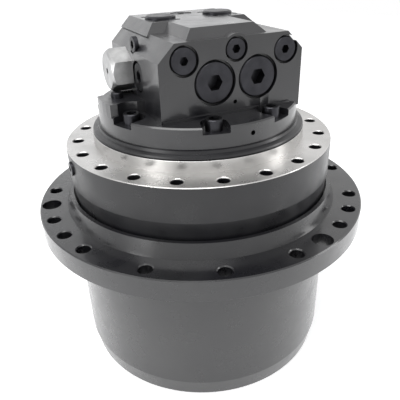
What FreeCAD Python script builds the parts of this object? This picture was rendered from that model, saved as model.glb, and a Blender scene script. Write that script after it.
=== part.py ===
"""Excavator final drive: a hydraulic travel motor inside a two-stage planetary reduction.

Millimetres, +Z up. The drive stands on its end cover: the origin is the middle of the cover's
bottom face, Z is the axis that the hub turns about, and the valve block on top faces -Y.
The spindle (with the motor and the valve block) bolts to the machine's frame and stands still;
the hub with the sprocket flange turns round it.
"""

import FreeCAD, Part
import math
import os

import Sketcher
from FreeCAD import Placement, Rotation, Vector

SIZES = {
    # clearances
    "running_gap": 0.05,
    "seat_gap": 0.02,
    # end cover
    "cover_bottom_radius": 156.4,
    "cover_radius": 159.8,
    "cover_height": 23.2,
    "cover_wall": 12.0,
    "cover_spigot_height": 2.8,
    "cover_foot_inner_radius": 112.0,
    "cover_recess": 4.0,
    "cover_screw_circle": 144.0,
    "cover_screw_count": 12,
    "cover_plug_circle": 84.0,
    "cover_plug_radius": 11.0,
    # hub
    "hub_radius": 160.5,
    "flange_bottom": 178.6,
    "flange_thickness": 25.4,
    "flange_radius": 200.0,
    "flange_bevel": 1.2,
    "collar_height": 16.6,
    "collar_base_radius": 167.4,
    "collar_radius": 161.8,
    "collar_bore_radius": 157.4,
    "sprocket_hole_circle": 186.0,
    "sprocket_hole_radius": 7.5,
    "sprocket_mouth_radius": 8.6,
    "sprocket_large_hole_radius": 11.5,
    "hole_step_angle": 12.0,
    # gear train
    "gear_module": 3.5,
    "ring_teeth": 66,
    "first_sun_teeth": 12,
    "first_planet_teeth": 27,
    "second_sun_teeth": 22,
    "second_planet_teeth": 22,
    "pressure_angle": 20.0,
    "tooth_thinning": 0.12,
    "ring_gear_radius": 128.0,
    "ring_gear_length": 100.0,
    "first_planet_bottom": 30.0,
    "first_planet_width": 28.0,
    "first_pin_radius": 15.0,
    "first_plate_thickness": 10.0,
    "first_plate_radius": 92.0,
    "second_carrier_bottom": 72.0,
    "second_plate_thickness": 9.0,
    "second_planet_width": 36.0,
    "second_upper_plate_thickness": 11.0,
    "second_carrier_radius": 106.0,
    "second_pin_radius": 13.0,
    "planet_side_gap": 1.0,
    "sun_stem_radius": 12.0,
    "second_sun_bore_radius": 16.0,
    "carrier_hub_radius": 56.0,
    "carrier_hub_height": 18.0,
    "carrier_key_count": 12,
    "carrier_key_depth": 3.0,
    # main bearings
    "journal_radius": 95.0,
    "bearing_outer_radius": 125.0,
    "bearing_width": 28.0,
    "bearing_gap": 4.0,
    "bearing_rib_radius": 118.0,
    "roller_radius": 6.0,
    "roller_length": 19.0,
    "roller_tilt": 12.0,
    "roller_count": 30,
    "nut_height": 8.0,
    "nut_radius": 106.0,
    "thread_radius": 90.0,
    # face seal
    "seal_floor_depth": 1.0,
    "seal_wall_radius": 149.5,
    "seal_pocket_radius": 148.0,
    "seal_pocket_floor_radius": 144.5,
    "seal_ring_inner_radius": 127.5,
    "seal_ring_height": 9.4,
    "seal_ring_thickness": 11.0,
    "seal_cord_radius": 3.0,
    "skirt_inner_radius": 151.0,
    "skirt_radius": 155.2,
    "skirt_overlap": 5.0,
    # spindle housing
    "frame_face_height": 278.9,
    "drum_radius": 157.2,
    "drum_taper_top": 240.0,
    "drum_taper_bottom": 222.0,
    "frame_hole_circle": 143.5,
    "frame_hole_count": 20,
    "frame_hole_phase": 2.5,
    "frame_hole_radius": 6.2,
    "frame_mouth_radius": 7.4,
    "frame_hole_depth": 30.0,
    "pilot_radius": 125.0,
    "pilot_height": 12.6,
    "bead_height": 8.0,
    "bead_rise": 4.6,
    "bead_inner_radius": 117.5,
    "spindle_neck_radius": 112.0,
    "motor_bore_radius": 68.0,
    "brake_bore_radius": 82.0,
    "brake_piston_radius": 88.5,
    "spigot_radius": 92.0,
    "shaft_bearing_radius": 40.0,
    "shaft_seal_radius": 34.0,
    "drum_plug_height": 264.5,
    "drum_plug_angle": 182.0,
    "drum_plug_radius": 8.0,
    # motor
    "shaft_radius": 22.0,
    "shaft_bottom": 136.0,
    "motor_floor": 168.0,
    "swash_plate_thickness": 18.0,
    "swash_plate_radius": 66.0,
    "piston_circle": 42.0,
    "piston_radius": 8.5,
    "piston_count": 9,
    "shoe_radius": 11.5,
    "shoe_thickness": 3.5,
    "block_bottom": 206.0,
    "block_radius": 60.0,
    "block_height": 58.0,
    "valve_plate_thickness": 6.0,
    "brake_floor": 226.0,
    "friction_disc_count": 3,
    "friction_disc_thickness": 2.8,
    "separator_thickness": 2.4,
    "brake_travel": 2.0,
    "brake_piston_height": 14.0,
    # valve block (rear cover of the motor)
    "parting_height": 299.5,
    "base_flange_radius": 115.5,
    "base_flange_top": 322.0,
    "base_flange_bevel": 1.5,
    "block_left": 75.2,
    "block_right": 88.1,
    "block_front": 78.2,
    "block_back": 74.0,
    "block_top": 398.0,
    "left_chamfer": 17.5,
    "right_chamfer": 18.5,
    "foot_height": 3.0,
    "foot_ledge": 2.5,
    "pad_rise": 9.5,
    "pad_left": 60.0,
    "pad_right": 70.0,
    "pad_step": 13.0,
    "tongue_left": 42.0,
    "tongue_right": 48.0,
    "tongue_front": 70.0,
    "screw_circle": 101.0,
    "screw_pocket_radius": 14.0,
    "screw_pocket_floor": 315.0,
    "left_screw_angle": 202.6,
    "front_left_screw_angle": 254.4,
    "front_right_screw_angle": 295.4,
    "lug_top": 335.0,
    "lug_start_angle": 174.0,
    "lug_end_angle": 194.0,
    # screws
    "screw_radius": 6.0,
    "screw_head_radius": 9.0,
    "screw_head_height": 12.0,
    "screw_socket": 10.0,
    "screw_grip": 16.0,
    "cover_screw_radius": 5.0,
    "cover_screw_head_radius": 8.0,
    "cover_screw_head_height": 10.0,
    "cover_screw_length": 30.0,
    # plugs, valve cavities and ports of the valve block
    "plug_rim": 1.8,
    "plug_recess": 0.8,
    "plug_seat_depth": 5.0,
    "large_plug_radius": 21.5,
    "large_plug_socket": 15.0,
    "check_height": 355.8,
    "left_check_x": -15.2,
    "right_check_x": 34.8,
    "check_bore_radius": 13.0,
    "check_seat_radius": 8.0,
    "check_travel": 6.0,
    "left_plug_x": -48.0,
    "left_plug_height": 380.5,
    "left_plug_radius": 13.6,
    "middle_plug_x": 9.0,
    "middle_plug_height": 386.3,
    "middle_plug_radius": 10.8,
    "middle_boss_radius": 15.0,
    "right_plug_x": 67.5,
    "right_plug_height": 380.0,
    "right_plug_radius": 12.9,
    "small_plug_socket": 8.0,
    "relief_y": -15.0,
    "relief_height": 356.5,
    "relief_plug_radius": 15.0,
    "relief_depth": 28.0,
    "wall_plug_y": -3.6,
    "wall_plug_height": 388.0,
    "wall_plug_radius": 8.5,
    "spool_y": 20.0,
    "spool_height": 359.0,
    "spool_radius": 12.0,
    "spool_travel": 5.0,
    "cap_across_flats": 41.0,
    "cap_length": 23.0,
    "cap_bore_radius": 9.0,
    "cap_thread_radius": 16.0,
    "cap_thread_length": 14.0,
    "speed_spool_radius": 6.5,
    "speed_travel": 6.0,
    "main_port_y": 26.0,
    "left_port_x": -30.0,
    "right_port_x": 41.0,
    "main_port_radius": 15.2,
    "main_port_depth": 22.0,
    "drain_port_x": 6.0,
    "drain_port_y": 52.0,
    "drain_port_radius": 9.5,
    "port_screw_radius": 3.4,
    "port_screw_offset": 20.0,
    "lug_plug_radius": 6.5,
    "lug_plug_x": -97.0,
    "lug_plug_y": -4.0,
}


class Size(float):
    """A number that keeps the sheet formula it was worked out with, so that what is built stays bound."""

    def __new__(cls, value, formula):
        made = super().__new__(cls, value)
        made.formula = formula
        return made

    def __add__(self, other):
        return Size(float(self) + float(other), f"({self.formula} + {formula_of(other)})")

    def __radd__(self, other):
        return Size(float(other) + float(self), f"({formula_of(other)} + {self.formula})")

    def __sub__(self, other):
        return Size(float(self) - float(other), f"({self.formula} - {formula_of(other)})")

    def __rsub__(self, other):
        return Size(float(other) - float(self), f"({formula_of(other)} - {self.formula})")

    def __mul__(self, other):
        return Size(float(self) * float(other), f"({self.formula} * {formula_of(other)})")

    def __rmul__(self, other):
        return Size(float(other) * float(self), f"({formula_of(other)} * {self.formula})")

    def __truediv__(self, other):
        return Size(float(self) / float(other), f"({self.formula} / {formula_of(other)})")

    def __neg__(self):
        return Size(-float(self), f"(0 - {self.formula})")


def formula_of(value):
    return getattr(value, "formula", None) or repr(float(value))


class Sheet:
    """The driving dimensions, by name, each bound to its cell of the spreadsheet."""


doc = FreeCAD.newDocument("final_drive")
cells = doc.addObject("Spreadsheet::Sheet", "sizes")
S = Sheet()
for row, (alias, value) in enumerate(SIZES.items(), start=1):
    cells.set(f"A{row}", alias)
    cells.set(f"B{row}", str(value))
    cells.setAlias(f"B{row}", alias)
    setattr(S, alias, Size(value, f"sizes.{alias}"))
doc.recompute()

DOWN = Rotation(Vector(1, 0, 0), 180)
TO_FRONT = Rotation(Vector(1, 0, 0), 90)
TO_LEFT = Rotation(Vector(0, 1, 0), -90)
TO_RIGHT = Rotation(Vector(0, 1, 0), 90)
UP = Rotation()


# ---------------------------------------------------------------- helpers


def bind(thing, path, value):
    """Sets a property, live to the sheet where the value came from it."""
    if hasattr(value, "formula"):
        thing.setExpression(path, value.formula)
    elif value or "." not in path:
        thing.setExpression(path, repr(float(value)))


def place(thing, x=0, y=0, z=0, turn=UP):
    thing.Placement = Placement(Vector(x, y, z), turn)
    bind(thing, "Placement.Base.x", x)
    bind(thing, "Placement.Base.y", y)
    bind(thing, "Placement.Base.z", z)
    return thing


def around(radius, angle):
    """The x and y of a point at this radius and angle in degrees about the Z axis."""
    return radius * math.cos(math.radians(angle)), radius * math.sin(math.radians(angle))


def new_body(label):
    body = doc.addObject("PartDesign::Body", label)
    body.Label = label
    return body


def sketch(body, plane_role, height=0):
    made = body.newObject("Sketcher::SketchObject", body.Name + "_sketch")
    plane = next(f for f in body.Origin.OriginFeatures if f.Role == plane_role)
    made.AttachmentSupport = [(plane, "")]
    made.MapMode = "FlatFace"
    if height:
        made.AttachmentOffset = Placement(Vector(0, 0, height), UP)
        bind(made, "AttachmentOffset.Base.z", height)
    return made


def pin_point(rules, bound, geometry, position, x, y):
    """Ties a sketch point to its x and y, to an axis where one of them is nought."""
    for kind, axis, value in (("DistanceX", -2, x), ("DistanceY", -1, y)):
        if float(value) == 0:
            rules.append(Sketcher.Constraint("PointOnObject", geometry, position, axis))
        else:
            if hasattr(value, "formula"):
                bound.append((len(rules), value.formula))
            rules.append(Sketcher.Constraint(kind, -1, 1, geometry, position, float(value)))


def apply_rules(made, rules, bound):
    first = made.ConstraintCount
    made.addConstraint(rules)
    for number, formula in bound:
        made.setExpression(f"Constraints[{first + number}]", formula)


def outline(made, points):
    """A closed outline of straight lines through the points, each tied to the sheet."""
    first = made.GeometryCount
    corners = [Vector(x, y, 0) for x, y in points]
    count = len(points)
    lines = [Part.LineSegment(corners[i], corners[(i + 1) % count]) for i in range(count)]
    made.addGeometry(lines, False)
    rules = []
    bound = []
    for i in range(count):
        rules.append(Sketcher.Constraint("Coincident", first + i, 2, first + (i + 1) % count, 1))
    for i, (x, y) in enumerate(points):
        pin_point(rules, bound, first + i, 1, x, y)
    apply_rules(made, rules, bound)
    return made


def circle(made, x, y, radius):
    number = made.GeometryCount
    made.addGeometry(Part.Circle(Vector(x, y, 0), Vector(0, 0, 1), float(radius)), False)
    rules = []
    bound = []
    pin_point(rules, bound, number, 3, x, y)
    if hasattr(radius, "formula"):
        bound.append((len(rules), radius.formula))
    rules.append(Sketcher.Constraint("Radius", number, float(radius)))
    apply_rules(made, rules, bound)
    return made


def hexagon(made, across_flats, x=0, y=0):
    corner = across_flats / math.sqrt(3)
    points = [around(corner, 60 * side) for side in range(6)]
    return outline(made, [(px + x, py + y) for px, py in points])


def revolve(body, points, cut=False):
    """A ring or disc turned about the Z axis from its half section of (radius, height) points."""
    section = outline(sketch(body, "XZ_Plane"), points)
    kind = "PartDesign::Groove" if cut else "PartDesign::Revolution"
    made = body.newObject(kind, body.Name + "_turned")
    made.Profile = section
    made.ReferenceAxis = (section, ["V_Axis"])
    made.Angle = 360
    return made


def turned(label, points):
    """A sub-part that is one turned ring or disc."""
    body = new_body(label)
    revolve(body, points)
    return body


def pad(body, section, length, backwards=False):
    made = body.newObject("PartDesign::Pad", body.Name + "_pad")
    made.Profile = section
    made.Reversed = backwards
    bind(made, "Length", length)
    return made


def pocket(body, section, depth=None, backwards=False):
    """A cut down from the section's plane, right through where no depth is given."""
    made = body.newObject("PartDesign::Pocket", body.Name + "_pocket")
    made.Profile = section
    made.Reversed = backwards
    if depth is None:
        made.Type = "ThroughAll"
    else:
        bind(made, "Length", depth)
    return made


def polar(body, features, count):
    """Repeats features of a body evenly round its Z axis."""
    made = body.newObject("PartDesign::PolarPattern", body.Name + "_pattern")
    made.Originals = features
    made.Axis = (next(f for f in body.Origin.OriginFeatures if f.Role == "Z_Axis"), [""])
    made.Angle = 360
    made.setExpression("Occurrences", formula_of(count))
    body.Tip = made
    return made


def cylinder(label, radius, height, x=0, y=0, z=0, turn=UP):
    made = doc.addObject("Part::Cylinder", label)
    bind(made, "Radius", radius)
    bind(made, "Height", height)
    return place(made, x, y, z, turn)


def cut(label, base, tool):
    made = doc.addObject("Part::Cut", label)
    made.Label = label
    made.Base = base
    made.Tool = tool
    return made


def fuse(label, pieces):
    made = doc.addObject("Part::MultiFuse", label)
    made.Shapes = pieces
    return made


def copies(label, master, places):
    """One group of equal pieces: a copy of the master at each place."""
    doc.recompute()
    made = []
    for number, spot in enumerate(places, start=1):
        piece = doc.addObject("Part::Feature", f"{label}_{number}")
        piece.Shape = master.Shape.copy()
        piece.Placement = spot.multiply(master.Placement)
        made.append(piece)
    return bundle(label, made)


def bundle(label, pieces):
    group = doc.addObject("Part::Compound", label)
    group.Label = label
    group.Links = pieces
    return group


def ring_of(count, radius, start=0, height=0):
    """Places evenly round the Z axis, each turned with its angle."""
    spots = []
    for number in range(int(count)):
        angle = start + 360 * number / int(count)
        x, y = around(float(radius), angle)
        spots.append(Placement(Vector(x, y, float(height)), Rotation(Vector(0, 0, 1), angle)))
    return spots


# ---------------------------------------------------------------- levels and radii worked out once

HUB_BOTTOM = S.cover_height
FLANGE_TOP = S.flange_bottom + S.flange_thickness
COLLAR_TOP = FLANGE_TOP + S.collar_height
RING_BOTTOM = HUB_BOTTOM + S.cover_spigot_height
RING_TOP = RING_BOTTOM + S.ring_gear_length
PILOT_TOP = S.frame_face_height + S.pilot_height

PITCH = S.gear_module / 2
RING_PITCH_RADIUS = PITCH * S.ring_teeth
FIRST_CENTRES = PITCH * (S.first_sun_teeth + S.first_planet_teeth)
SECOND_CENTRES = PITCH * (S.second_sun_teeth + S.second_planet_teeth)
FIRST_PLANETS = 3
SECOND_PLANETS = 4

FIRST_PLANET_TOP = S.first_planet_bottom + S.first_planet_width
FIRST_PLATE_BOTTOM = FIRST_PLANET_TOP + S.planet_side_gap
FIRST_PLATE_TOP = FIRST_PLATE_BOTTOM + S.first_plate_thickness
SECOND_PLANET_BOTTOM = S.second_carrier_bottom + S.second_plate_thickness + S.planet_side_gap
SECOND_PLANET_TOP = SECOND_PLANET_BOTTOM + S.second_planet_width
UPPER_PLATE_BOTTOM = SECOND_PLANET_TOP + S.planet_side_gap
SPINDLE_END = UPPER_PLATE_BOTTOM + S.second_upper_plate_thickness
LOWER_BEARING = SPINDLE_END + 1 + S.nut_height
BEARING_MIDDLE = LOWER_BEARING + S.bearing_width
UPPER_BEARING = BEARING_MIDDLE + S.bearing_gap
BEARING_TOP = UPPER_BEARING + S.bearing_width
SEAL_FLOOR = FLANGE_TOP + S.seal_floor_depth
SEAL_PLANE = SEAL_FLOOR + S.seal_ring_height
SEAL_CEILING = SEAL_PLANE + S.seal_ring_height
CARRIER_HUB_TOP = SPINDLE_END + S.carrier_hub_height

BLOCK_TOP = S.block_bottom + S.block_height
MOTOR_END = BLOCK_TOP + S.valve_plate_thickness
FRICTION_STACK = (S.friction_disc_count * S.friction_disc_thickness
                  + (S.friction_disc_count + 1) * S.separator_thickness)
BRAKE_STACK_TOP = S.brake_floor + FRICTION_STACK
BRAKE_SHOULDER = BRAKE_STACK_TOP + S.brake_travel + 2


# ---------------------------------------------------------------- gear teeth


def involute(angle):
    return math.tan(angle) - angle


def toothed_face(label, teeth, inner, outer, thickening, phase=0.0):
    """A flat toothed face: involute flanks between two radii, a tooth centred on the phase angle.

    With a positive thickening the same outline is the cutter of an internal gear."""
    pressure = math.radians(S.pressure_angle)
    count = int(teeth)
    pitch_radius = float(PITCH) * count
    base_radius = pitch_radius * math.cos(pressure)
    half_tooth = (math.pi / 2 + thickening / float(S.gear_module)) / count

    def flank(radius, step, side):
        held = max(radius, base_radius)
        half = half_tooth + involute(pressure) - involute(math.acos(base_radius / held))
        angle = math.radians(phase) + step + side * half
        return Vector(radius * math.cos(angle), radius * math.sin(angle), 0)

    start = max(float(inner), base_radius)
    middle = (start + float(outer)) / 2
    edges = []
    previous = None
    first = None
    for tooth in range(count):
        step = 2 * math.pi * tooth / count
        foot = flank(float(inner), step, -1)
        begin = flank(start, step, -1)
        tip = flank(float(outer), step, -1)
        other_tip = flank(float(outer), step, 1)
        end = flank(start, step, 1)
        other_foot = flank(float(inner), step, 1)
        if previous is not None:
            edges.append(Part.makeLine(previous, foot))
        else:
            first = foot
        if (begin - foot).Length > 0.001:
            edges.append(Part.makeLine(foot, begin))
        edges.append(Part.Arc(begin, flank(middle, step, -1), tip).toShape())
        edges.append(Part.makeLine(tip, other_tip))
        edges.append(Part.Arc(other_tip, flank(middle, step, 1), end).toShape())
        if (end - other_foot).Length > 0.001:
            edges.append(Part.makeLine(end, other_foot))
        previous = other_foot
    edges.append(Part.makeLine(previous, first))
    made = doc.addObject("Part::Feature", label + "_outline")
    made.Shape = Part.Face(Part.Wire(edges))
    return made


def toothed_prism(label, face, bottom, height):
    made = doc.addObject("Part::Extrusion", label + "_prism")
    made.Base = face
    made.Dir = Vector(0, 0, 1)
    made.Solid = True
    bind(made, "LengthFwd", height)
    place(made, z=bottom)
    return made


def spur_gear(label, teeth, addendum, bottom, width, bore, phase):
    """An external gear: a turned blank with bevelled tips and a bore, crossed with its toothed prism."""
    outer = PITCH * teeth + addendum * S.gear_module
    root = PITCH * teeth - 1.25 * S.gear_module
    bevel = 0.25 * S.gear_module
    top = bottom + width
    face = toothed_face(label, teeth, root, outer, -float(S.tooth_thinning), phase)
    prism = toothed_prism(label, face, bottom, width)
    blank = turned(label + "_blank", [
        (bore, bottom),
        (outer - bevel, bottom),
        (outer + 0.1, bottom + bevel),
        (outer + 0.1, top - bevel),
        (outer - bevel, top),
        (bore, top),
    ])
    made = doc.addObject("Part::Common", label)
    made.Label = label
    made.Base = blank
    made.Tool = prism
    return made


# ---------------------------------------------------------------- hub, ring gear and end cover


def make_hub():
    hub = new_body("hub")
    bevel = S.flange_bevel
    revolve(hub, [
        (S.ring_gear_radius, HUB_BOTTOM),
        (S.hub_radius, HUB_BOTTOM),
        (S.hub_radius, S.flange_bottom),
        (S.flange_radius - bevel, S.flange_bottom),
        (S.flange_radius, S.flange_bottom + bevel),
        (S.flange_radius, FLANGE_TOP - bevel),
        (S.flange_radius - bevel, FLANGE_TOP),
        (S.collar_base_radius, FLANGE_TOP),
        (S.collar_radius, COLLAR_TOP),
        (S.collar_bore_radius, COLLAR_TOP),
        (S.collar_bore_radius, SEAL_FLOOR),
        (S.seal_wall_radius, SEAL_FLOOR),
        (S.seal_wall_radius, SEAL_PLANE - 0.5),
        (S.seal_pocket_radius, SEAL_PLANE - 0.5),
        (S.seal_pocket_floor_radius, SEAL_FLOOR),
        (S.bearing_outer_radius, SEAL_FLOOR),
        (S.bearing_outer_radius, UPPER_BEARING),
        (S.bearing_rib_radius, UPPER_BEARING),
        (S.bearing_rib_radius, BEARING_MIDDLE),
        (S.bearing_outer_radius, BEARING_MIDDLE),
        (S.bearing_outer_radius, RING_TOP),
        (S.ring_gear_radius, RING_TOP),
    ])
    # every third of the flange has six tapped holes and one plain one, with three places left bare
    sector_start = 276.0 - 360.0
    tapped = sketch(hub, "XY_Plane", FLANGE_TOP)
    for place_number in (0, 2, 3, 4, 6, 8):
        x, y = around(S.sprocket_hole_circle, sector_start + place_number * float(S.hole_step_angle))
        circle(tapped, x, y, S.sprocket_hole_radius)
    doc.recompute()
    holes = hub.newObject("PartDesign::Hole", "sprocket_holes")
    holes.Profile = tapped
    holes.DepthType = "ThroughAll"
    holes.HoleCutType = "Countersink"
    bind(holes, "Diameter", 2 * S.sprocket_hole_radius)
    bind(holes, "HoleCutDiameter", 2 * S.sprocket_mouth_radius)
    holes.HoleCutCountersinkAngle = 90
    plain = sketch(hub, "XY_Plane", FLANGE_TOP)
    x, y = around(S.sprocket_hole_circle, sector_start + float(S.hole_step_angle))
    circle(plain, x, y, S.sprocket_large_hole_radius)
    large = pocket(hub, plain)
    polar(hub, [holes, large], 3)
    screw_holes = sketch(hub, "XY_Plane", HUB_BOTTOM)
    x, y = around(S.cover_screw_circle, 0)
    circle(screw_holes, x, 0, S.cover_screw_radius)
    drilled = pocket(hub, screw_holes, S.cover_screw_length, backwards=True)
    polar(hub, [drilled], S.cover_screw_count)
    return hub


def make_ring_gear():
    sleeve = turned("ring_gear_sleeve", [
        (RING_PITCH_RADIUS - S.gear_module, RING_BOTTOM),
        (S.ring_gear_radius - 1, RING_BOTTOM),
        (S.ring_gear_radius, RING_BOTTOM + 1),
        (S.ring_gear_radius, RING_TOP),
        (RING_PITCH_RADIUS - S.gear_module, RING_TOP),
    ])
    inner = RING_PITCH_RADIUS - 0.9 * S.gear_module
    outer = RING_PITCH_RADIUS + 1.25 * S.gear_module
    face = toothed_face("ring_gear", S.ring_teeth, inner, outer, float(S.tooth_thinning))
    cutter = toothed_prism("ring_gear", face, RING_BOTTOM - 1, S.ring_gear_length + 2)
    bore = cylinder("ring_gear_bore", inner, S.ring_gear_length + 2, z=RING_BOTTOM - 1)
    return cut("ring_gear", sleeve, fuse("ring_gear_space", [cutter, bore]))


def make_end_cover():
    cover = new_body("end_cover")
    foot = 1.5
    inside = S.cover_wall + S.cover_recess
    revolve(cover, [
        (0, S.cover_recess),
        (S.cover_foot_inner_radius - 5, S.cover_recess),
        (S.cover_foot_inner_radius, 0),
        (S.cover_bottom_radius - foot, 0),
        (S.cover_bottom_radius, foot),
        (S.cover_radius, S.cover_height),
        (S.ring_gear_radius - S.seat_gap, S.cover_height),
        (S.ring_gear_radius - S.seat_gap, RING_BOTTOM),
        (S.ring_gear_radius - 12, RING_BOTTOM),
        (S.ring_gear_radius - 16, inside),
        (26, inside),
        (24, inside + 3),
        (0, inside + 3),
    ])
    head = sketch(cover, "XY_Plane")
    circle(head, S.cover_screw_circle, 0, S.cover_screw_head_radius + 0.5)
    counterbore = pocket(cover, head, S.cover_screw_head_height + 1, backwards=True)
    shank = sketch(cover, "XY_Plane")
    circle(shank, S.cover_screw_circle, 0, S.cover_screw_radius + 0.4)
    clearance = pocket(cover, shank, S.cover_height + 1, backwards=True)
    polar(cover, [counterbore, clearance], S.cover_screw_count)
    for radius, depth in ((S.cover_plug_radius, 6.5), (S.cover_plug_radius - 2, inside + 1 - S.cover_recess)):
        plugs = sketch(cover, "XY_Plane", S.cover_recess)
        circle(plugs, S.cover_plug_circle, 0, radius)
        circle(plugs, -S.cover_plug_circle, 0, radius)
        pocket(cover, plugs, depth, backwards=True)
    return cover


def make_thrust_pad():
    """The wear pad on the cover that the sun shaft's end runs on."""
    seat = S.cover_wall + S.cover_recess + 3
    top = S.first_planet_bottom - 4 - 0.2
    turned("thrust_pad", [
        (0, seat),
        (19, seat),
        (20, seat + 1),
        (20, top - 1),
        (19, top),
        (0, top),
    ])


def socket_screw(label, radius, head_radius, head_height, length, socket):
    """A socket-head cap screw pointing down: the underside of its head is at z = 0."""
    screw = new_body(label)
    edge = 0.08 * head_radius
    revolve(screw, [
        (0, -length),
        (radius - 0.8, -length),
        (radius, 0.8 - length),
        (radius, 0),
        (head_radius, 0),
        (head_radius, head_height - edge),
        (head_radius - edge, head_height),
        (0, head_height),
    ])
    pocket(screw, hexagon(sketch(screw, "XY_Plane", head_height), socket), head_height / 2)
    return screw


def make_cover_screws():
    screw = socket_screw("cover_screw_master", S.cover_screw_radius - S.seat_gap, S.cover_screw_head_radius,
                         S.cover_screw_head_height, S.cover_height + 12, 8.0)
    head_seat = S.cover_screw_head_height + 1
    spots = []
    for spot in ring_of(S.cover_screw_count, S.cover_screw_circle, 0, head_seat):
        spots.append(spot.multiply(Placement(Vector(), DOWN)))
    return copies("end_cover_screws", screw, spots)


def socket_plug(label, radius, thickness, socket, thread_radius, thread_length):
    """A hex-socket screw plug: its outer face is at z = 0 and its thread points down."""
    plug = new_body(label)
    edge = 0.07 * radius
    revolve(plug, [
        (0, -thickness - thread_length),
        (thread_radius - 1, -thickness - thread_length),
        (thread_radius, 1 - thickness - thread_length),
        (thread_radius, -thickness),
        (radius, -thickness),
        (radius, -edge),
        (radius - edge, 0),
        (0, 0),
    ])
    pocket(plug, hexagon(sketch(plug, "XY_Plane"), socket), thickness + 0.4 * thread_length)
    return plug


def make_cover_plugs():
    radius = S.cover_plug_radius - S.seat_gap
    plug = socket_plug("cover_plug_master", radius, 6.0, 8.0, radius - 2, 5.0)
    spots = []
    for side in (1, -1):
        spots.append(Placement(Vector(side * S.cover_plug_circle, 0, S.cover_recess + 0.5), DOWN))
    return copies("cover_plugs", plug, spots)


# ---------------------------------------------------------------- planetary stages


def make_first_stage():
    bore = S.first_pin_radius + S.running_gap
    for number in range(FIRST_PLANETS):
        label = f"first_planet_{number + 1}"
        angle = 360 * number / FIRST_PLANETS
        gear = spur_gear(label + "_gear", S.first_planet_teeth, 0.8, S.first_planet_bottom,
                         S.first_planet_width, bore, 0)
        copies(label, gear, [Placement(Vector(*around(float(FIRST_CENTRES), angle), 0),
                                       Rotation(Vector(0, 0, 1), angle))])
    plate = new_body("first_carrier_plate")
    revolve(plate, [
        (S.second_sun_bore_radius + 8, FIRST_PLATE_BOTTOM),
        (S.first_plate_radius - 1, FIRST_PLATE_BOTTOM),
        (S.first_plate_radius, FIRST_PLATE_BOTTOM + 1),
        (S.first_plate_radius, FIRST_PLATE_TOP - 1),
        (S.first_plate_radius - 1, FIRST_PLATE_TOP),
        (S.second_sun_bore_radius + 8, FIRST_PLATE_TOP),
    ])
    pin_seat = sketch(plate, "XY_Plane", FIRST_PLATE_TOP)
    circle(pin_seat, FIRST_CENTRES, 0, S.first_pin_radius)
    seats = pocket(plate, pin_seat)
    lightening = sketch(plate, "XY_Plane", FIRST_PLATE_TOP)
    x, y = around(S.first_plate_radius + 22, 180 / FIRST_PLANETS)
    circle(lightening, x, y, 46.0)
    scallop = pocket(plate, lightening)
    polar(plate, [seats, scallop], FIRST_PLANETS)
    spline = toothed_face("carrier_spline", S.second_sun_teeth, second_sun_root() + 0.3, second_sun_tip() + 0.3,
                          0.2, second_sun_phase())
    space = toothed_prism("carrier_spline", spline, FIRST_PLATE_BOTTOM - 1, S.first_plate_thickness + 2)
    cut("first_carrier", plate, space)
    pin = turned("first_pin_master", [
        (0, S.first_planet_bottom - 3),
        (S.first_pin_radius - 1, S.first_planet_bottom - 3),
        (S.first_pin_radius - S.seat_gap, S.first_planet_bottom - 2),
        (S.first_pin_radius - S.seat_gap, FIRST_PLATE_TOP),
        (0, FIRST_PLATE_TOP),
    ])
    copies("first_planet_pins", pin, ring_of(FIRST_PLANETS, FIRST_CENTRES))
    sun = spur_gear("first_sun_gear", S.first_sun_teeth, 1.0, S.first_planet_bottom - 2,
                    S.first_planet_width + 2, 0, 0)
    stem = turned("first_sun_stem", [
        (0, S.first_planet_bottom - 4),
        (S.sun_stem_radius - 3, S.first_planet_bottom - 4),
        (S.sun_stem_radius - 3, FIRST_PLANET_TOP),
        (S.sun_stem_radius, FIRST_PLANET_TOP + 3),
        (S.sun_stem_radius, S.shaft_bottom + 24),
        (0, S.shaft_bottom + 24),
    ])
    fuse("first_sun", [sun, stem]).Label = "first_sun"


def second_sun_root():
    return PITCH * S.second_sun_teeth - 1.25 * S.gear_module


def second_sun_tip():
    return PITCH * S.second_sun_teeth + S.gear_module


def second_sun_phase():
    """Half a tooth off, so that a space of the sun faces each planet that meshes with a tooth."""
    return 180 / float(S.second_sun_teeth)


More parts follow.
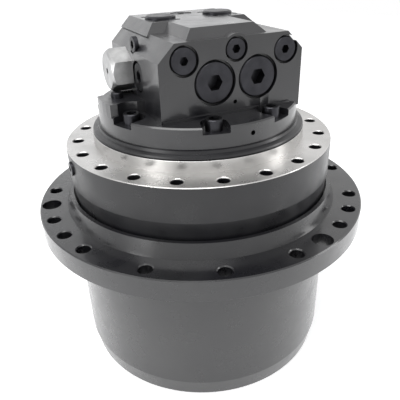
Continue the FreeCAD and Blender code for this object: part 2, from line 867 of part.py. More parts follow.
def make_second_stage():
    bore = S.second_pin_radius + S.running_gap
    ring_pitch = 360 / float(S.ring_teeth)
    planet_pitch = 360 / float(S.second_planet_teeth)
    for number in range(SECOND_PLANETS):
        label = f"second_planet_{number + 1}"
        angle = 360 * number / SECOND_PLANETS
        # the ring's spaces fall half a pitch off at every other planet
        off = (angle / ring_pitch) % 1.0
        gear = spur_gear(label + "_gear", S.second_planet_teeth, 1.0, SECOND_PLANET_BOTTOM,
                         S.second_planet_width, bore, off * planet_pitch)
        copies(label, gear, [Placement(Vector(*around(float(SECOND_CENTRES), angle), 0),
                                       Rotation(Vector(0, 0, 1), angle))])
    spur_gear("second_sun", S.second_sun_teeth, 1.0, FIRST_PLATE_BOTTOM,
              SECOND_PLANET_TOP - FIRST_PLATE_BOTTOM + 1, S.second_sun_bore_radius, second_sun_phase())
    carrier = new_body("second_carrier_casting")
    key_root = S.carrier_hub_radius - S.carrier_key_depth
    opening = S.shaft_radius + 4
    revolve(carrier, [
        (opening, S.second_carrier_bottom),
        (S.second_carrier_radius - 2, S.second_carrier_bottom),
        (S.second_carrier_radius, S.second_carrier_bottom + 2),
        (S.second_carrier_radius, SPINDLE_END - 2),
        (S.second_carrier_radius - 2, SPINDLE_END),
        (S.carrier_hub_radius, SPINDLE_END),
        (S.carrier_hub_radius, CARRIER_HUB_TOP),
        (opening, CARRIER_HUB_TOP),
    ])
    sun_space = sketch(carrier, "XY_Plane", UPPER_PLATE_BOTTOM)
    circle(sun_space, 0, 0, second_sun_tip() + 1.5)
    pocket(carrier, sun_space, UPPER_PLATE_BOTTOM - S.second_carrier_bottom + 1)
    window = sketch(carrier, "XY_Plane", UPPER_PLATE_BOTTOM)
    circle(window, SECOND_CENTRES, 0, second_sun_tip() + 1.5)
    windows = pocket(carrier, window, S.second_planet_width + 2 * S.planet_side_gap)
    seat = sketch(carrier, "XY_Plane", SPINDLE_END)
    circle(seat, SECOND_CENTRES, 0, S.second_pin_radius)
    seats = pocket(carrier, seat)
    polar(carrier, [windows, seats], SECOND_PLANETS)
    # keyways between the hub's keys, which hold the carrier still in the spindle
    keyway = sketch(carrier, "XY_Plane", CARRIER_HUB_TOP)
    half = 0.25 * 2 * math.pi / float(S.carrier_key_count)
    reach = S.carrier_hub_radius + 1
    outline(keyway, [
        (key_root * math.cos(half), -key_root * math.sin(half)),
        (reach * math.cos(half), -reach * math.sin(half)),
        (reach * math.cos(half), reach * math.sin(half)),
        (key_root * math.cos(half), key_root * math.sin(half)),
    ])
    keyways = pocket(carrier, keyway, S.carrier_hub_height)
    polar(carrier, [keyways], S.carrier_key_count)
    carrier.Label = "second_carrier"
    pin = turned("second_pin_master", [
        (0, S.second_carrier_bottom),
        (S.second_pin_radius - S.seat_gap, S.second_carrier_bottom),
        (S.second_pin_radius - S.seat_gap, SPINDLE_END),
        (0, SPINDLE_END),
    ])
    copies("second_planet_pins", pin, ring_of(SECOND_PLANETS, SECOND_CENTRES))


# ---------------------------------------------------------------- main bearings


def race_point(centre_height, large_end, along, offset):
    """A point beside the roller axis: along it towards its large end, and off it outwards."""
    tilt = math.radians(S.roller_tilt)
    middle = (S.journal_radius + S.bearing_outer_radius) / 2
    radius = middle + along * math.sin(tilt) + offset * math.cos(tilt)
    height = centre_height + large_end * (along * math.cos(tilt) - offset * math.sin(tilt))
    return radius, height


def bearing_rings(name, bottom, large_end):
    """Inner and outer ring of one tapered roller bearing; large_end is -1 where the wide end is below."""
    half = S.bearing_width / 2
    middle = bottom + half
    gap = S.roller_radius + S.running_gap
    reach = S.roller_length / 2 + 0.15
    wide = middle + large_end * half
    narrow = middle - large_end * half
    inner_wide = race_point(middle, large_end, reach, -gap)
    inner_narrow = race_point(middle, large_end, -reach, -gap)
    rib = race_point(middle, large_end, reach, -0.45 * gap)
    inner = [
        (S.journal_radius + S.seat_gap, wide),
        (rib[0], wide),
        rib,
        inner_wide,
        inner_narrow,
        (inner_narrow[0], narrow),
        (S.journal_radius + S.seat_gap, narrow),
    ]
    outer_wide = race_point(middle, large_end, reach + 1, gap)
    outer_narrow = race_point(middle, large_end, -reach - 1, gap)
    outer = [
        (S.bearing_outer_radius - S.seat_gap, wide - large_end * 3),
        (outer_wide[0], wide - large_end * 3),
        outer_wide,
        outer_narrow,
        (outer_narrow[0], narrow),
        (S.bearing_outer_radius - S.seat_gap, narrow),
    ]
    return turned(name + "_inner_ring", inner), turned(name + "_outer_ring", outer)


def roller_set(name, bottom, large_end):
    """The rollers of one bearing and the cage that keeps them apart."""
    middle = bottom + S.bearing_width / 2
    centre = (S.journal_radius + S.bearing_outer_radius) / 2
    lean = Rotation(Vector(0, 1, 0), large_end * float(S.roller_tilt))
    roller = cylinder(name + "_roller", S.roller_radius, S.roller_length)
    pocket_tool = cylinder(name + "_roller_space", S.roller_radius + 0.1, S.roller_length + 0.2)
    spots = []
    for spot in ring_of(S.roller_count, centre, 0, middle):
        spots.append(spot.multiply(Placement(Vector(), lean)))
    along = Placement(Vector(0, 0, -S.roller_length / 2), UP)
    wide_along = Placement(Vector(0, 0, -S.roller_length / 2 - 0.1), UP)
    rollers = copies(name + "_rollers", roller, [spot.multiply(along) for spot in spots])
    spaces = copies(name + "_roller_spaces", pocket_tool, [spot.multiply(wide_along) for spot in spots])
    reach = S.roller_length / 2 + 1.8
    shell = turned(name + "_cage_shell", [
        race_point(middle, large_end, reach, -1.0),
        race_point(middle, large_end, reach, 1.2),
        race_point(middle, large_end, -reach, 1.2),
        race_point(middle, large_end, -reach, -1.0),
    ])
    return rollers, cut(name + "_cage", shell, spaces)


def make_main_bearings():
    lower_inner, lower_outer = bearing_rings("lower", LOWER_BEARING, -1)
    upper_inner, upper_outer = bearing_rings("upper", UPPER_BEARING, 1)
    lower_rollers, lower_cage = roller_set("lower", LOWER_BEARING, -1)
    upper_rollers, upper_cage = roller_set("upper", UPPER_BEARING, 1)
    bundle("bearing_inner_rings", [lower_inner, upper_inner])
    bundle("bearing_outer_rings", [lower_outer, upper_outer])
    bundle("bearing_rollers", [lower_rollers, upper_rollers])
    bundle("bearing_cages", [lower_cage, upper_cage])
    nut = new_body("bearing_nut")
    revolve(nut, [
        (S.thread_radius + S.seat_gap, SPINDLE_END + 1),
        (S.nut_radius - 1.5, SPINDLE_END + 1),
        (S.nut_radius, SPINDLE_END + 2.5),
        (S.nut_radius, LOWER_BEARING),
        (S.thread_radius + S.seat_gap, LOWER_BEARING),
    ])
    slot = sketch(nut, "XY_Plane", LOWER_BEARING + 1)
    outline(slot, [
        (S.nut_radius - 5, -5),
        (S.nut_radius + 2, -5),
        (S.nut_radius + 2, 5),
        (S.nut_radius - 5, 5),
    ])
    slots = pocket(nut, slot)
    polar(nut, [slots], 6)


# ---------------------------------------------------------------- face seal


def seal_half(name, floor, upward):
    """One half of the floating seal: a metal ring and the rubber cord that carries it in its ramp."""
    face = SEAL_PLANE - upward * S.running_gap / 2
    inner = S.seal_ring_inner_radius
    outer = inner + S.seal_ring_thickness + 6
    ring = turned(f"{name}_seal_ring", [
        (inner, floor + upward * 1.0),
        (inner + S.seal_ring_thickness, floor + upward * 1.0),
        (inner + S.seal_ring_thickness + 2, floor + upward * 6.4),
        (outer, floor + upward * 6.4),
        (outer, face),
        (inner, face),
    ])
    cord = doc.addObject("Part::Torus", f"{name}_seal_cord")
    cord.Label = f"{name}_seal_cord"
    bind(cord, "Radius1", (inner + S.seal_ring_thickness + 0.8 + S.seal_pocket_floor_radius + 1.3) / 2)
    bind(cord, "Radius2", S.seal_cord_radius)
    place(cord, z=floor + upward * 3.25)
    return ring, cord


# ---------------------------------------------------------------- spindle housing


def make_spindle():
    spindle = new_body("spindle_casting")
    bead_top = PILOT_TOP + S.bead_height
    key_gap = S.running_gap * 2
    revolve(spindle, [
        (S.carrier_hub_radius + key_gap, SPINDLE_END),
        (S.thread_radius, SPINDLE_END),
        (S.thread_radius, LOWER_BEARING),
        (S.journal_radius, LOWER_BEARING),
        (S.journal_radius, BEARING_TOP),
        (S.spindle_neck_radius - 6, BEARING_TOP),
        (S.spindle_neck_radius, BEARING_TOP + 6),
        (S.spindle_neck_radius, SEAL_CEILING),
        (S.seal_pocket_floor_radius, SEAL_CEILING),
        (S.seal_pocket_radius, SEAL_PLANE + 0.5),
        (S.skirt_inner_radius, SEAL_PLANE + 0.5),
        (S.skirt_inner_radius, SEAL_PLANE - S.skirt_overlap),
        (S.skirt_radius, SEAL_PLANE - S.skirt_overlap),
        (S.skirt_radius, S.drum_taper_bottom),
        (S.drum_radius, S.drum_taper_top),
        (S.drum_radius, S.frame_face_height - 0.8),
        (S.drum_radius - 0.8, S.frame_face_height),
        (S.pilot_radius, S.frame_face_height),
        (S.pilot_radius, PILOT_TOP),
        (S.pilot_radius - 1.2, PILOT_TOP + 0.6),
        (S.pilot_radius - 0.6, PILOT_TOP + 2),
        (S.pilot_radius - 1.4, PILOT_TOP + 0.8 * S.bead_rise),
        (S.pilot_radius - 4, PILOT_TOP + S.bead_rise),
        (S.bead_inner_radius + 1, PILOT_TOP + S.bead_rise + 0.6),
        (S.bead_inner_radius, bead_top),
        (S.spigot_radius, bead_top),
        (S.spigot_radius, MOTOR_END),
        (S.brake_piston_radius, MOTOR_END),
        (S.brake_piston_radius, BRAKE_SHOULDER),
        (S.brake_bore_radius, BRAKE_SHOULDER),
        (S.brake_bore_radius, S.brake_floor),
        (S.motor_bore_radius, S.brake_floor),
        (S.motor_bore_radius, S.motor_floor),
        (S.shaft_bearing_radius, S.motor_floor),
        (S.shaft_bearing_radius, S.motor_floor - 12),
        (S.shaft_seal_radius, S.motor_floor - 12),
        (S.shaft_seal_radius, CARRIER_HUB_TOP),
        (S.carrier_hub_radius + key_gap, CARRIER_HUB_TOP),
    ])
    # keys of the bore, which stand in the carrier hub's keyways
    key = sketch(spindle, "XY_Plane", SPINDLE_END)
    half = 0.25 * 2 * math.pi / float(S.carrier_key_count)
    tip = S.carrier_hub_radius - S.carrier_key_depth + key_gap
    wall = S.carrier_hub_radius + 1
    side_gap = 0.15
    outline(key, [
        (tip * math.cos(half), side_gap - tip * math.sin(half)),
        (wall * math.cos(half), side_gap - tip * math.sin(half)),
        (wall * math.cos(half), tip * math.sin(half) - side_gap),
        (tip * math.cos(half), tip * math.sin(half) - side_gap),
    ])
    keys = pad(spindle, key, S.carrier_hub_height)
    polar(spindle, [keys], S.carrier_key_count)
    frame = sketch(spindle, "XY_Plane", S.frame_face_height)
    x, y = around(S.frame_hole_circle, float(S.frame_hole_phase))
    circle(frame, x, y, S.frame_hole_radius)
    doc.recompute()
    holes = spindle.newObject("PartDesign::Hole", "frame_holes")
    holes.Profile = frame
    holes.DepthType = "Dimension"
    bind(holes, "Depth", S.frame_hole_depth)
    holes.HoleCutType = "Countersink"
    bind(holes, "Diameter", 2 * S.frame_hole_radius)
    bind(holes, "HoleCutDiameter", 2 * S.frame_mouth_radius)
    holes.HoleCutCountersinkAngle = 90
    polar(spindle, [holes], S.frame_hole_count)
    screws = sketch(spindle, "XY_Plane", bead_top)
    for angle in block_screw_angles():
        x, y = around(S.screw_circle, angle)
        circle(screws, x, y, S.screw_radius + S.seat_gap)
    pocket(spindle, screws, S.screw_grip + 2)
    doc.recompute()
    seat = drum_drilling("case_plug_seat", S.drum_plug_radius + S.seat_gap, 1.8)
    thread = drum_drilling("case_plug_thread", S.drum_plug_radius - 2, 14)
    return cut("spindle", spindle, fuse("case_plug_hole", [seat, thread]))


def drum_drilling(label, radius, depth):
    """A round tool that stands in the side of the drum, where the case plug goes."""
    x, y = around(S.drum_radius + 1, float(S.drum_plug_angle))
    turn = Rotation(Vector(0, 0, 1), float(S.drum_plug_angle)).multiply(TO_LEFT)
    return cylinder(label, radius, depth + 1, x, y, S.drum_plug_height, turn)


# ---------------------------------------------------------------- motor


def make_motor():
    swash_bottom = S.motor_floor
    swash_top = swash_bottom + S.swash_plate_thickness
    hole = S.shaft_radius + 6
    swash = new_body("swash_plate")
    revolve(swash, [
        (hole + 4, swash_bottom),
        (S.swash_plate_radius - 6, swash_bottom),
        (S.swash_plate_radius - 1, swash_top - 5),
        (S.swash_plate_radius - 1, swash_top),
        (hole, swash_top),
        (hole, swash_bottom + 4),
    ])
    # the underside's two tilting faces meet on the middle line
    wedge = sketch(swash, "YZ_Plane", -S.swash_plate_radius)
    outline(wedge, [
        (9, swash_bottom - 1),
        (S.swash_plate_radius, swash_bottom - 1),
        (S.swash_plate_radius, swash_bottom + 9),
        (9, swash_bottom),
    ])
    pocket(swash, wedge, backwards=True)
    shoe_top = swash_top + S.shoe_thickness
    cup_top = shoe_top + 6.5
    ball_height = shoe_top + 4.0
    ball_radius = 5.0
    socket = doc.addObject("Part::Sphere", "shoe_socket")
    bind(socket, "Radius", ball_radius + S.running_gap)
    place(socket, z=ball_height)
    blank = turned("shoe_blank", [
        (0, swash_top + S.running_gap),
        (S.shoe_radius, swash_top + S.running_gap),
        (S.shoe_radius, shoe_top),
        (8.0, shoe_top),
        (7.2, cup_top),
        (0, cup_top),
    ])
    shoe = cut("shoe_master", blank, socket)
    copies("piston_shoes", shoe, ring_of(S.piston_count, S.piston_circle))
    barrel = turned("piston_barrel", [
        (0, ball_height + 3.5),
        (3.2, ball_height + 3.5),
        (3.2, ball_height + 8),
        (S.piston_radius, ball_height + 12),
        (S.piston_radius, BLOCK_TOP - 14),
        (4, BLOCK_TOP - 14),
        (4, ball_height + 24),
        (0, ball_height + 24),
    ])
    ball = doc.addObject("Part::Sphere", "piston_ball")
    bind(ball, "Radius", ball_radius)
    place(ball, z=ball_height)
    piston = fuse("piston_master", [barrel, ball])
    copies("pistons", piston, ring_of(S.piston_count, S.piston_circle))
    retainer = new_body("retainer_plate")
    revolve(retainer, [
        (S.shaft_radius + 5, shoe_top + 0.1),
        (S.swash_plate_radius - 4, shoe_top + 0.1),
        (S.swash_plate_radius - 4, shoe_top + 3.6),
        (S.shaft_radius + 7, shoe_top + 3.6),
    ])
    shoe_hole = sketch(retainer, "XY_Plane", shoe_top + 5)
    circle(shoe_hole, S.piston_circle, 0, 8.4)
    polar(retainer, [pocket(retainer, shoe_hole)], S.piston_count)
    turned("retainer_guide", [
        (S.shaft_radius + S.seat_gap, shoe_top + 1),
        (S.shaft_radius + 5, shoe_top + 3.7),
        (S.shaft_radius + 9, shoe_top + 3.7),
        (S.shaft_radius + 6, shoe_top + 8),
        (S.shaft_radius + 6, S.block_bottom),
        (S.shaft_radius + S.seat_gap, S.block_bottom),
    ])
    block = new_body("cylinder_block")
    revolve(block, [
        (S.shaft_radius + S.seat_gap, S.block_bottom),
        (S.block_radius - 2, S.block_bottom),
        (S.block_radius, S.block_bottom + 2),
        (S.block_radius, BLOCK_TOP - 8),
        (S.block_radius - 3, BLOCK_TOP - 8),
        (S.block_radius - 3, BLOCK_TOP),
        (S.shaft_radius + S.seat_gap, BLOCK_TOP),
    ])
    bore = sketch(block, "XY_Plane", S.block_bottom)
    circle(bore, S.piston_circle, 0, S.piston_radius + S.running_gap)
    bores = pocket(block, bore, S.block_height - 8, backwards=True)
    port = sketch(block, "XY_Plane", BLOCK_TOP)
    circle(port, S.piston_circle, 0, 5.0)
    ports = pocket(block, port, 9)
    polar(block, [bores, ports], S.piston_count)
    plate = new_body("valve_plate")
    revolve(plate, [
        (S.shaft_radius + 8, BLOCK_TOP),
        (S.block_radius - 4, BLOCK_TOP),
        (S.block_radius - 4, MOTOR_END),
        (S.shaft_radius + 8, MOTOR_END),
    ])
    kidney = sketch(plate, "XY_Plane", MOTOR_END)
    for angle in (-52, -26, 0, 26, 52):
        x, y = around(S.piston_circle, angle)
        circle(kidney, x, y, 4.5)
    polar(plate, [pocket(plate, kidney)], 2)
    shaft_top = MOTOR_END + 18
    turned("motor_shaft", [
        (S.sun_stem_radius + S.seat_gap, S.shaft_bottom),
        (S.shaft_radius, S.shaft_bottom),
        (S.shaft_radius, BLOCK_TOP),
        (S.shaft_radius - 4, BLOCK_TOP + 2),
        (S.shaft_radius - 4, shaft_top - 1),
        (S.shaft_radius - 5, shaft_top),
        (0, shaft_top),
        (0, S.shaft_bottom + 26),
        (S.sun_stem_radius + S.seat_gap, S.shaft_bottom + 26),
    ])
    lower = turned("lower_shaft_bearing", [
        (S.shaft_radius + S.running_gap, S.motor_floor - 12),
        (S.shaft_bearing_radius - S.seat_gap, S.motor_floor - 12),
        (S.shaft_bearing_radius - S.seat_gap, S.motor_floor - 0.5),
        (S.shaft_radius + S.running_gap, S.motor_floor - 0.5),
    ])
    upper = turned("upper_shaft_bearing", [
        (S.shaft_radius - 4 + S.running_gap, MOTOR_END + 1),
        (S.shaft_radius + 8 - S.seat_gap, MOTOR_END + 1),
        (S.shaft_radius + 8 - S.seat_gap, shaft_top - 2),
        (S.shaft_radius - 4 + S.running_gap, shaft_top - 2),
    ])
    bundle("shaft_bearings", [lower, upper])
    turned("shaft_seal", [
        (S.shaft_radius + S.running_gap, CARRIER_HUB_TOP + 0.5),
        (S.shaft_seal_radius - S.seat_gap, CARRIER_HUB_TOP + 0.5),
        (S.shaft_seal_radius - S.seat_gap, S.motor_floor - 12),
        (S.shaft_radius + 6, S.motor_floor - 12),
        (S.shaft_radius + 6, CARRIER_HUB_TOP + 3),
        (S.shaft_radius + S.running_gap, CARRIER_HUB_TOP + 3),
    ])


def make_brake():
    pitch = S.friction_disc_thickness + S.separator_thickness
    first_disc = S.brake_floor + S.separator_thickness
    disc = turned("friction_disc_master", [
        (S.block_radius + S.seat_gap, 0),
        (S.brake_bore_radius - 4, 0),
        (S.brake_bore_radius - 4, S.friction_disc_thickness),
        (S.block_radius + S.seat_gap, S.friction_disc_thickness),
    ])
    count = int(S.friction_disc_count)
    copies("friction_discs", disc,
           [Placement(Vector(0, 0, first_disc + number * pitch), UP) for number in range(count)])
    plate = turned("separator_master", [
        (S.block_radius + 4, 0),
        (S.brake_bore_radius - S.seat_gap, 0),
        (S.brake_bore_radius - S.seat_gap, S.separator_thickness),
        (S.block_radius + 4, S.separator_thickness),
    ])
    copies("separator_plates", plate,
           [Placement(Vector(0, 0, S.brake_floor + number * pitch), UP) for number in range(count + 1)])
    piston_top = BRAKE_STACK_TOP + S.brake_piston_height
    turned("brake_piston", [
        (S.block_radius + 6, BRAKE_STACK_TOP),
        (S.brake_bore_radius - S.running_gap, BRAKE_STACK_TOP),
        (S.brake_bore_radius - S.running_gap, BRAKE_SHOULDER),
        (S.brake_piston_radius - S.running_gap, BRAKE_SHOULDER),
        (S.brake_piston_radius - S.running_gap, piston_top),
        (S.block_radius + 6, piston_top),
    ])
    inner = S.block_radius + 8
    outer = S.brake_piston_radius - 2
    lower_height = (MOTOR_END - piston_top) / 2
    leaf = 1.6
    lower = turned("lower_disc_spring", [
        (inner, piston_top + lower_height - leaf),
        (outer, piston_top),
        (outer, piston_top + leaf),
        (inner, piston_top + lower_height),
    ])
    upper = turned("upper_disc_spring", [
        (inner, piston_top + lower_height),
        (outer, MOTOR_END - leaf),
        (outer, MOTOR_END),
        (inner, piston_top + lower_height + leaf),
    ])
    bundle("brake_springs", [lower, upper])


# ---------------------------------------------------------------- valve block


def block_screw_angles():
    """The screws of the base flange: three measured places, the rest spread over what is left."""
    angles = [float(S.left_screw_angle), float(S.front_left_screw_angle), float(S.front_right_screw_angle)]
    left_over = 360 - angles[-1] + angles[0]
    for step in range(1, 6):
        angles.append((angles[2] + left_over * step / 6) % 360)
    return angles


def make_valve_block():
    block = new_body("valve_block_casting")
    spigot = S.spigot_radius - S.seat_gap
    bearing_seat = S.shaft_radius + 8
    revolve(block, [
        (0, MOTOR_END + 19),
        (bearing_seat, MOTOR_END + 19),
        (bearing_seat, MOTOR_END),
        (spigot, MOTOR_END),
        (spigot, S.parting_height),
        (S.base_flange_radius, S.parting_height),
        (S.base_flange_radius, S.base_flange_top - S.base_flange_bevel),
        (S.base_flange_radius - S.base_flange_bevel, S.base_flange_top),
        (0, S.base_flange_top),
    ])
    front = sketch(block, "XZ_Plane", S.block_front)
    outline(front, [
        (-S.block_left, S.base_flange_top - 4),
        (S.block_right, S.base_flange_top - 4),
        (S.block_right, S.block_top - S.right_chamfer),
        (S.block_right - S.right_chamfer, S.block_top),
        (-S.block_left + S.left_chamfer, S.block_top),
        (-S.block_left, S.block_top - S.left_chamfer),
    ])
    pad(block, front, S.block_front + S.block_back, backwards=True)
    foot = sketch(block, "XZ_Plane", S.block_front + S.foot_ledge)
    outline(foot, [
        (1 - S.block_left, S.base_flange_top - 4),
        (S.block_right - 14, S.base_flange_top - 4),
        (S.block_right - 14, S.base_flange_top + S.foot_height),
        (1 - S.block_left, S.base_flange_top + S.foot_height),
    ])
    pad(block, foot, 10, backwards=True)
    boss = sketch(block, "XZ_Plane", S.block_front)
    circle(boss, S.middle_plug_x, S.middle_plug_height, S.middle_boss_radius)
    pad(block, boss, 9, backwards=True)
    lug = sketch(block, "XY_Plane", S.base_flange_top - 4)
    lug_points = [(10 - S.block_left, 26), (10 - S.block_left, -30)]
    steps = 4
    sweep = float(S.lug_end_angle) - float(S.lug_start_angle)
    for step in range(steps + 1):
        lug_points.append(around(S.base_flange_radius, float(S.lug_end_angle) - sweep * step / steps))
    outline(lug, lug_points)
    pad(block, lug, S.lug_top - S.base_flange_top + 4)
    # the raised port pad: a T in plan with sloping sides
    slope = S.pad_rise
    loft = block.newObject("PartDesign::AdditiveLoft", "port_pad")
    lower = pad_outline(block, S.block_top - 2, slope + 2)
    upper = pad_outline(block, S.block_top + S.pad_rise, 0)
    loft.Profile = lower
    loft.Sections = [upper]
    loft.Ruled = True
    block.Tip = loft
    doc.recompute()
    drillings = fuse("drillings", valve_block_drillings())
    return cut("valve_block", block, drillings)


def pad_outline(block, height, spread):
    """The pad's T outline at one height, wider by spread on the sides that slope."""
    section = sketch(block, "XY_Plane", height)
    corner = S.pad_rise - spread
    return outline(section, [
        (corner - S.pad_left, corner - S.pad_step),
        (corner - S.tongue_left, corner - S.pad_step),
        (corner - S.tongue_left, corner - S.tongue_front),
        (S.tongue_right - corner, corner - S.tongue_front),
        (S.tongue_right - corner, corner - S.pad_step),
        (S.pad_right - corner, corner - S.pad_step),
        (S.pad_right - corner, S.block_back),
        (corner - S.pad_left, S.block_back),
    ])


def plug_seat(name, x, height, radius, thread_radius, depth):
    """The counterbore and the thread of a plug in the front face."""
    front = -S.block_front - 1
    seat_depth = S.plug_seat_depth + S.plug_recess + 1
    seat = cylinder(name + "_seat", radius + S.plug_rim, seat_depth, x, front, height, TO_FRONT.inverted())
    hole = cylinder(name + "_hole", thread_radius, depth + 1, x, front, height, TO_FRONT.inverted())
    return [seat, hole]


def valve_block_drillings():
    inward = TO_FRONT.inverted()
    tools = []
    for name, x in (("left_check", S.left_check_x), ("right_check", S.right_check_x)):
        tools += plug_seat(name, x, S.check_height, S.large_plug_radius, S.large_plug_radius - 4, 28.0)
        tools.append(cylinder(name + "_bore", S.check_bore_radius, S.block_front - 8,
                              x, -S.block_front, S.check_height, inward))
        tools.append(cylinder(name + "_passage", S.check_seat_radius, S.block_front + S.spool_y - 6,
                              x, -S.block_front, S.check_height, inward))
    tools += plug_seat("left_pilot", S.left_plug_x, S.left_plug_height, S.left_plug_radius,
                       S.speed_spool_radius + 3, 20.0)
    tools.append(cylinder("speed_bore", S.speed_spool_radius + S.running_gap, S.block_front + 14,
                          S.left_plug_x, -S.block_front, S.left_plug_height, inward))
    tools += plug_seat("middle_pilot", S.middle_plug_x, S.middle_plug_height, S.middle_plug_radius, 7.0, 40.0)
    tools += plug_seat("right_pilot", S.right_plug_x, S.right_plug_height, S.right_plug_radius, 8.5, 40.0)
    left = -S.block_left - 1
    right = S.block_right + 1
    for name, x, turn in (("left", left, TO_RIGHT), ("right", right, TO_LEFT)):
        tools.append(cylinder(name + "_relief_seat", S.relief_plug_radius + S.plug_rim, 7,
                              x, S.relief_y, S.relief_height, turn))
        tools.append(cylinder(name + "_relief_bore", S.relief_plug_radius - 4, S.relief_depth + 1,
                              x, S.relief_y, S.relief_height, turn))
        tools.append(cylinder(name + "_cap_thread", S.cap_thread_radius, S.cap_thread_length + 1,
                              x, S.spool_y, S.spool_height, turn))
    tools.append(cylinder("spool_bore", S.spool_radius + S.running_gap, S.block_left + S.block_right + 2,
                          left, S.spool_y, S.spool_height, TO_RIGHT))
    tools.append(cylinder("wall_plug_seat", S.wall_plug_radius + 0.8, 7,
                          left, S.wall_plug_y, S.wall_plug_height, TO_RIGHT))
    top = S.block_top + S.pad_rise
    for name, x in (("left_port", S.left_port_x), ("right_port", S.right_port_x)):
        tools.append(cylinder(name, S.main_port_radius, S.main_port_depth, x, S.main_port_y,
                              top - S.main_port_depth))
        for corner_x in (-1, 1):
            for corner_y in (-1, 1):
                tools.append(cylinder(f"{name}_screw_hole", S.port_screw_radius, 14,
                                      x + corner_x * S.port_screw_offset * 0.62,
                                      S.main_port_y + corner_y * S.port_screw_offset, top - 14))
    tools.append(cylinder("drain_port", S.drain_port_radius, 16, S.drain_port_x, S.drain_port_y, top - 16))
    tools.append(cylinder("drain_seat", S.drain_port_radius + 3.5, 4.5, S.drain_port_x, S.drain_port_y, top - 4.5))
    tools.append(cylinder("lug_port", S.lug_plug_radius - 1.5, 12, S.lug_plug_x, S.lug_plug_y, S.lug_top - 12))
    for angle in block_screw_angles():
        x, y = around(S.screw_circle, angle)
        turn = Rotation(Vector(0, 0, 1), angle)
        tools.append(cylinder("screw_pocket", S.screw_pocket_radius, 24, x, y, S.screw_pocket_floor, turn))
        side = doc.addObject("Part::Box", "screw_pocket_mouth")
        bind(side, "Length", 30)
        bind(side, "Width", 2 * S.screw_pocket_radius)
        bind(side, "Height", 24)
        corner = Vector(float(S.screw_circle), -float(S.screw_pocket_radius), float(S.screw_pocket_floor))
        side.Placement = Placement(Vector(), turn).multiply(Placement(corner, UP))
        tools.append(side)
        tools.append(cylinder("screw_clearance", S.screw_radius + 0.5, 40, x, y, S.parting_height - 10))
    tools.append(cylinder("pin_hole", 2.2, 8, 7.7, -S.block_front - 1, 333.4, inward))
    x, y = around(float(S.base_flange_radius) + 1, 273.8)
    radial = Rotation(Vector(0, 0, 1), 273.8).multiply(TO_LEFT)
    tools.append(cylinder("flange_drilling", 2.6, 12, x, y, 311.0, radial))
    return tools


